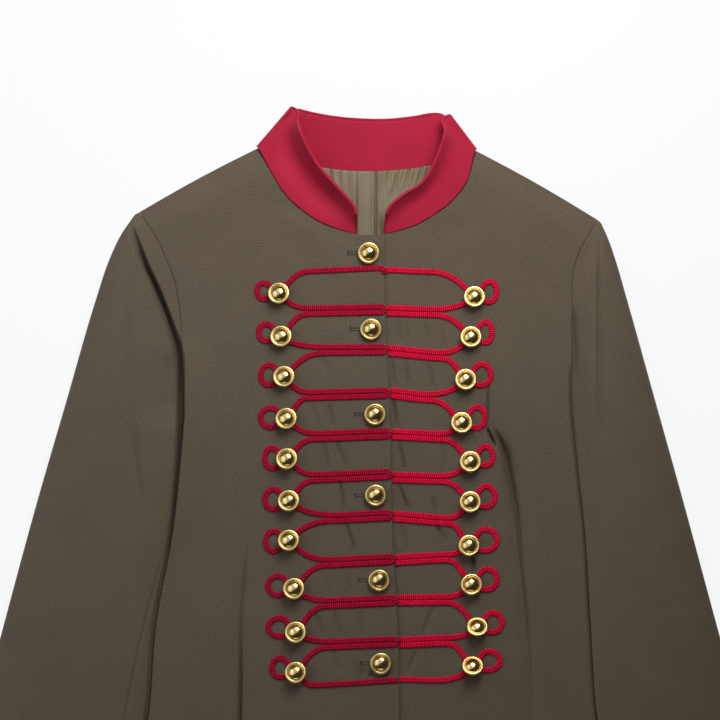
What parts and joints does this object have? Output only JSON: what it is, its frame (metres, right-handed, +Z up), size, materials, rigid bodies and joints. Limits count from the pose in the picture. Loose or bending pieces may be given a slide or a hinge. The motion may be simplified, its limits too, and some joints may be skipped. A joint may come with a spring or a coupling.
{
  "type": "military-style jacket",
  "caption": "Olive military-style jacket laid flat, with a red stand collar, looped crimson frogging across the front, domed gold buttons and long set-in sleeves.",
  "frame": {"origin": "on the surface that the jacket lies on, under the middle of its whole outline", "axes": "+X to the viewer's right across the jacket, +Y from the hem to the collar, +Z up out of the front"},
  "size_m": [0.734, 0.7001, 0.027],
  "materials": {
    "olive_twill": "matt fine twill with a faint bloom",
    "red_collar_cloth": "matt closely woven cloth",
    "khaki_lining_satin": "softly shining satin lining",
    "crimson_braid": "ribbed braid with a slight sheen",
    "gold_button": "polished gold plating"
  },
  "bodies": {
    "root": {"back": "olive_twill", "front_left": "olive_twill", "front_right": "olive_twill", "sleeve_left_top": "olive_twill", "sleeve_left_under": "olive_twill", "sleeve_right_top": "olive_twill", "sleeve_right_under": "olive_twill", "collar": "red_collar_cloth", "neck_lining": "khaki_lining_satin", "braid_left": "crimson_braid", "braid_right": "crimson_braid", "centre_button_1": "gold_button", "centre_button_2": "gold_button", "centre_button_3": "gold_button", "centre_button_4": "gold_button", "centre_button_5": "gold_button", "centre_button_6": "gold_button", "left_button_1": "gold_button", "left_button_2": "gold_button", "left_button_3": "gold_button", "left_button_4": "gold_button", "left_button_5": "gold_button", "left_button_6": "gold_button", "left_button_7": "gold_button", "left_button_8": "gold_button", "left_button_9": "gold_button", "left_button_10": "gold_button", "right_button_1": "gold_button", "right_button_2": "gold_button", "right_button_3": "gold_button", "right_button_4": "gold_button", "right_button_5": "gold_button", "right_button_6": "gold_button", "right_button_7": "gold_button", "right_button_8": "gold_button", "right_button_9": "gold_button", "right_button_10": "gold_button"}
  },
  "joints": []
}
